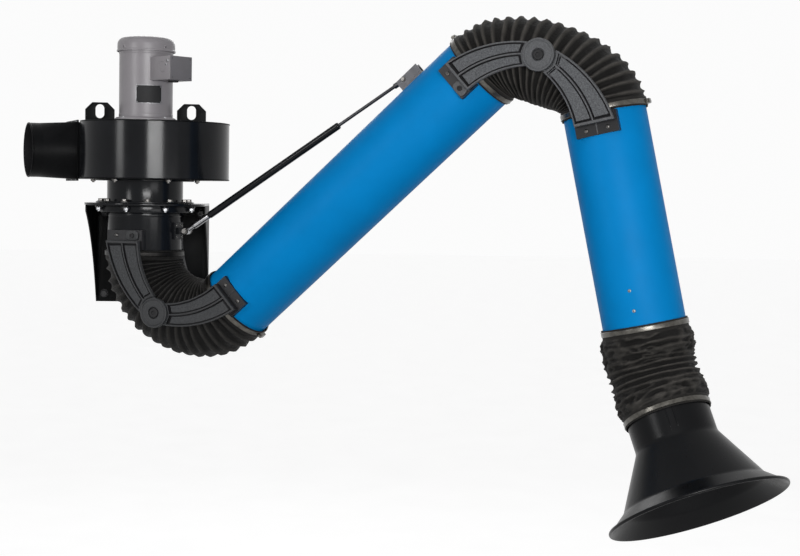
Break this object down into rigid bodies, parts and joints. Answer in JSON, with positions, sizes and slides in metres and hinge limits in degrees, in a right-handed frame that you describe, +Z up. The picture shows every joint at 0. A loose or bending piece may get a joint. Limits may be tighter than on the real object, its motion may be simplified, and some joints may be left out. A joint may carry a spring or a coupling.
{
  "type": "fume extraction arm",
  "caption": "Wall-mounted fume extraction arm: swivelling duct with ribbed elbows, two rigid tubes, gas spring and flared hood, under a motor-driven scroll fan.",
  "frame": {"origin": "centre of the wall bracket's back face, on the wall", "axes": "+Y into the wall, +Z up, +X along the wall to the right as seen from the room"},
  "size_m": [1.9247, 1.2681, 1.2847],
  "materials": {
    "blue_paint": "glossy powder coat",
    "black_paint": "semi-gloss powder coat",
    "grey_paint": "satin enamel",
    "cast_iron": "as cast",
    "zinc_steel": "zinc plated",
    "hose_fabric": "coated fabric over a wire helix",
    "band_steel": "stainless band",
    "arm_casting": "dark textured powder coat on cast aluminium",
    "foot_steel": "satin black",
    "hood_plastic": "moulded, glossy"
  },
  "bodies": {
    "base": {"wall_bracket": "black_paint", "bracket_shelf": "black_paint", "inlet_collar": "black_paint", "fan_bottom_plate": "black_paint", "fan_scroll_wrap": "black_paint", "fan_top_plate": "black_paint", "outlet_transition": "black_paint", "lifting_lug_left": "black_paint", "lifting_lug_right": "black_paint", "motor_end_plate": "grey_paint", "motor_frame": "grey_paint", "motor_end_shield": "cast_iron", "motor_stator": "cast_iron", "motor_fan_cover": "grey_paint", "terminal_box": "grey_paint", "terminal_box_cover": "grey_paint", "swivel_bearing": "black_paint"},
    "rotor": {"motor_rotor": "zinc_steel", "impeller": "cast_iron", "cooling_fan": "cast_iron"},
    "swivel": {"swivel_duct": "black_paint", "gas_spring_base_bracket": "black_paint", "shoulder_hose": "hose_fabric", "shoulder_upper_arm_near": "arm_casting", "shoulder_upper_arm_far": "arm_casting", "shoulder_upper_foot_near": "foot_steel", "shoulder_upper_foot_far": "foot_steel", "shoulder_upper_hose_clamp": "band_steel"},
    "lower_arm": {"lower_tube": "blue_paint", "gas_spring_tube_bracket": "black_paint", "elbow_hose": "hose_fabric", "shoulder_pivot_bolt_near": "zinc_steel", "shoulder_pivot_bolt_far": "zinc_steel", "elbow_pivot_bolt_near": "zinc_steel", "elbow_pivot_bolt_far": "zinc_steel", "shoulder_lower_arm_near": "arm_casting", "shoulder_lower_arm_far": "arm_casting", "shoulder_lower_foot_near": "foot_steel", "shoulder_lower_foot_far": "foot_steel", "shoulder_lower_hose_clamp": "band_steel", "elbow_lower_arm_near": "arm_casting", "elbow_lower_arm_far": "arm_casting", "elbow_lower_foot_near": "foot_steel", "elbow_lower_foot_far": "foot_steel", "elbow_lower_hose_clamp": "band_steel"},
    "upper_arm": {"upper_tube": "blue_paint", "hood_joint_mount": "zinc_steel", "hood_hose": "hose_fabric", "hood_hose_clamp_upper": "band_steel", "elbow_upper_arm_near": "arm_casting", "elbow_upper_arm_far": "arm_casting", "elbow_upper_foot_near": "foot_steel", "elbow_upper_foot_far": "foot_steel", "elbow_upper_hose_clamp": "band_steel"},
    "hood_cross": {"hood_joint_cross": "zinc_steel"},
    "hood": {"hood": "hood_plastic", "hood_joint_yoke": "zinc_steel", "hood_hose_clamp_lower": "band_steel"},
    "gas_spring_barrel": {"gas_spring_barrel": "black_paint"},
    "gas_spring_rod": {"gas_spring_rod": "zinc_steel"}
  },
  "joints": [
    {"name": "swivel_turn", "type": "hinge", "parent": "base", "child": "swivel", "pos_m": [0, -0.3, 0.0226], "axis": [0, 0, 1], "range_deg": [-130, 26]},
    {"name": "shoulder_hinge", "type": "hinge", "parent": "swivel", "child": "lower_arm", "pos_m": [0.09258, -0.34515, -0.1404], "axis": [-0.4384, -0.8988, 0], "range_deg": [-41, 9], "deforming": ["shoulder_hose"]},
    {"name": "elbow_hinge", "type": "hinge", "parent": "lower_arm", "child": "upper_arm", "pos_m": [1.03268, -0.80367, 0.52419], "axis": [-0.4384, -0.8988, 0], "range_deg": [-20, 70], "deforming": ["elbow_hose"]},
    {"name": "hood_tilt", "type": "hinge", "parent": "upper_arm", "child": "hood_cross", "pos_m": [1.27531, -0.92201, -0.23695], "axis": [-0.4384, -0.8988, 0], "range_deg": [-51, 27], "deforming": ["hood_hose"]},
    {"name": "hood_swing", "type": "hinge", "parent": "hood_cross", "child": "hood", "pos_m": [1.27531, -0.92201, -0.23695], "axis": [0.8198, -0.3998, 0.4099], "range_deg": [-23, 55]},
    {"name": "fan_spin", "type": "hinge", "parent": "base", "child": "rotor", "pos_m": [0, -0.3, 0.2912], "axis": [0, 0, 1], "continuous": true},
    {"name": "gas_spring_pivot", "type": "hinge", "parent": "swivel", "child": "gas_spring_barrel", "pos_m": [0.11684, -0.35699, 0.075], "axis": [-0.4384, -0.8988, 0], "range_deg": [-46, 12]},
    {"name": "gas_spring_stroke", "type": "slide", "parent": "gas_spring_barrel", "child": "gas_spring_rod", "axis": [0.7566, -0.369, 0.5398], "range_m": [-0.036, 0.142]}
  ],
  "couplings": [
    {"joint": "gas_spring_pivot", "follows": "shoulder_hinge", "ratio": 1.1024},
    {"joint": "gas_spring_stroke", "follows": "shoulder_hinge", "m_per_rad": -0.1935}
  ]
}
